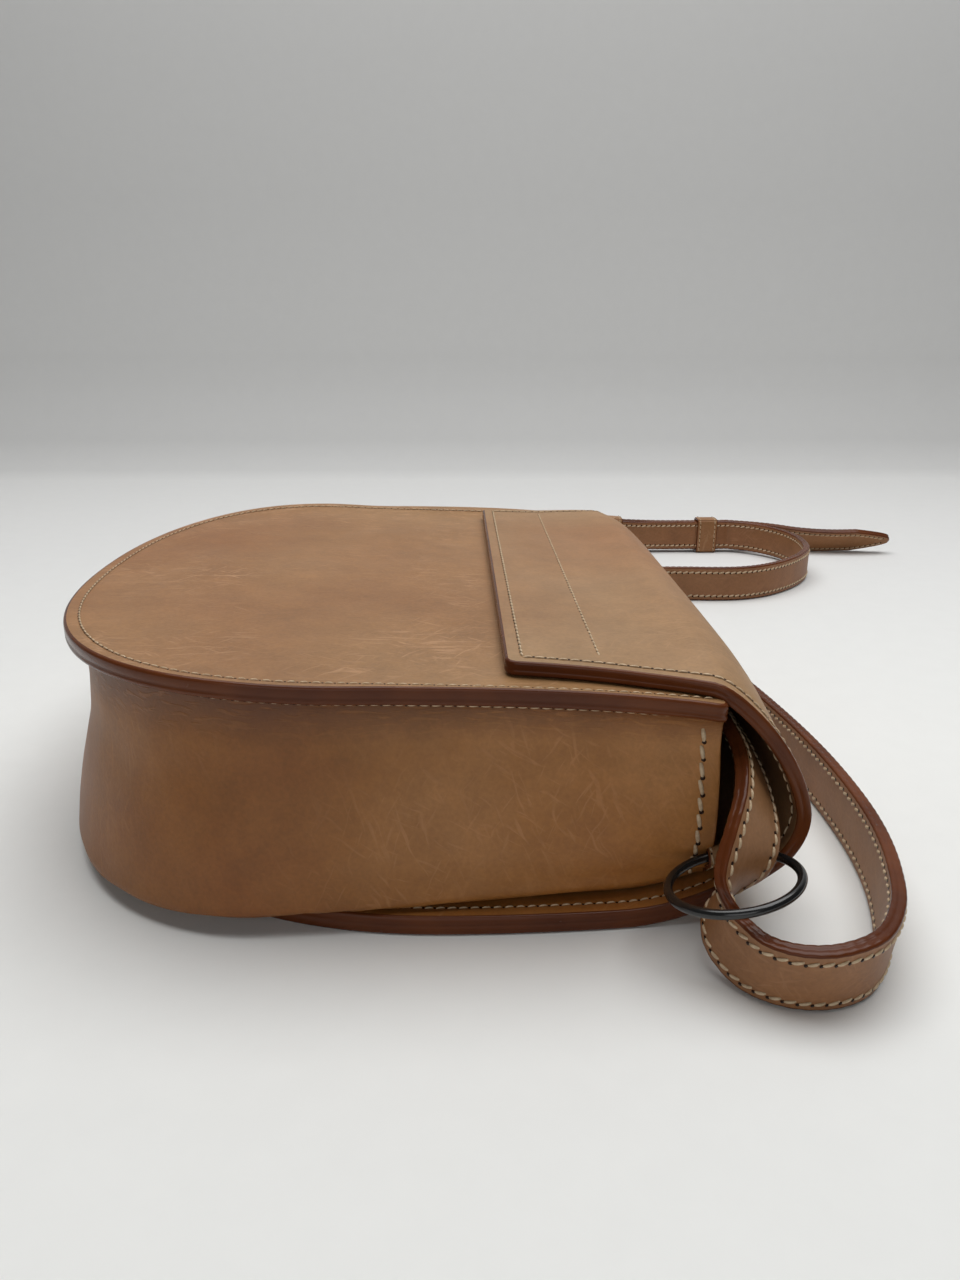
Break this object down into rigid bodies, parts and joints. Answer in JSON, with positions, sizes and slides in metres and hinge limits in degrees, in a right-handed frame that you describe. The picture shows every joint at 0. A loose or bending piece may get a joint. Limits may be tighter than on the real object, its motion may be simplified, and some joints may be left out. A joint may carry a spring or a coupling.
{
  "type": "shoulder bag",
  "caption": "Saddle-shaped leather shoulder bag lying on its back, with a flap that rolls over the mouth, round strap rings and a long buckled strap.",
  "frame": {"origin": "middle of the back panel's flat outer face, which the bag lies on", "axes": "+X from the rounded bottom to the mouth, +Y across the bag away from the pictured side, +Z from the back to the front"},
  "size_m": [0.4054, 0.4549, 0.0698],
  "materials": {
    "tan_leather": "natural vegetable-tanned leather, light grain",
    "side_leather": "natural vegetable-tanned leather, softer",
    "suede": "suede lining",
    "black_metal": "gloss black",
    "magnet": "plain",
    "stiffener": "plain"
  },
  "bodies": {
    "bag": {"front_panel": "tan_leather", "front_lining": "suede", "back_panel": "tan_leather", "back_lining": "suede", "gusset": "side_leather", "gusset_lining": "suede", "mouth_facing_near": "tan_leather", "mouth_facing_far": "tan_leather", "inner_pocket": "suede", "panel_magnets": "magnet", "roll_base": "tan_leather", "roll_base_lining": "side_leather", "ring_tab_near": "tan_leather", "ring_tab_far": "tan_leather", "strap_outer": "tan_leather", "strap_inner": "side_leather", "buckle_frame": "black_metal", "strap_chape": "side_leather", "fixed_keeper": "side_leather"},
    "roll": {"flap_roll": "tan_leather", "flap_roll_lining": "side_leather"},
    "flap": {"flap_front": "tan_leather", "flap_front_lining": "side_leather", "flap_stiffener": "stiffener", "flap_magnets": "magnet"},
    "near_ring": {"ring_near": "black_metal"},
    "far_ring": {"ring_far": "black_metal"},
    "prong": {"buckle_prong": "black_metal"},
    "keeper": {"sliding_keeper": "side_leather"}
  },
  "joints": [
    {"name": "roll_hinge", "type": "hinge", "parent": "bag", "child": "roll", "pos_m": [0.1145, 0, 0.02939], "axis": [0, 1, 0], "range_deg": [0, 100]},
    {"name": "flap_hinge", "type": "hinge", "parent": "roll", "child": "flap", "pos_m": [0.086, 0, 0.06445], "axis": [0, 1, 0], "range_deg": [0, 60]},
    {"name": "near_ring_swing", "type": "hinge", "parent": "bag", "child": "near_ring", "pos_m": [0.0921, -0.10878, 0.01882], "axis": [0.9799, 0.0278, 0.1974], "range_deg": [-4, 2]},
    {"name": "far_ring_swing", "type": "hinge", "parent": "bag", "child": "far_ring", "pos_m": [0.0921, 0.10878, 0.01882], "axis": [0.9799, -0.0278, 0.1974], "range_deg": [-1, 4]},
    {"name": "prong_hinge", "type": "hinge", "parent": "bag", "child": "prong", "pos_m": [0.10998, 0.29903, 0.014], "axis": [0, 0, 1], "range_deg": [-8, 0]},
    {"name": "keeper_slide", "type": "slide", "parent": "bag", "child": "keeper", "axis": [1, 0, 0], "range_m": [-0.03, 0]}
  ]
}
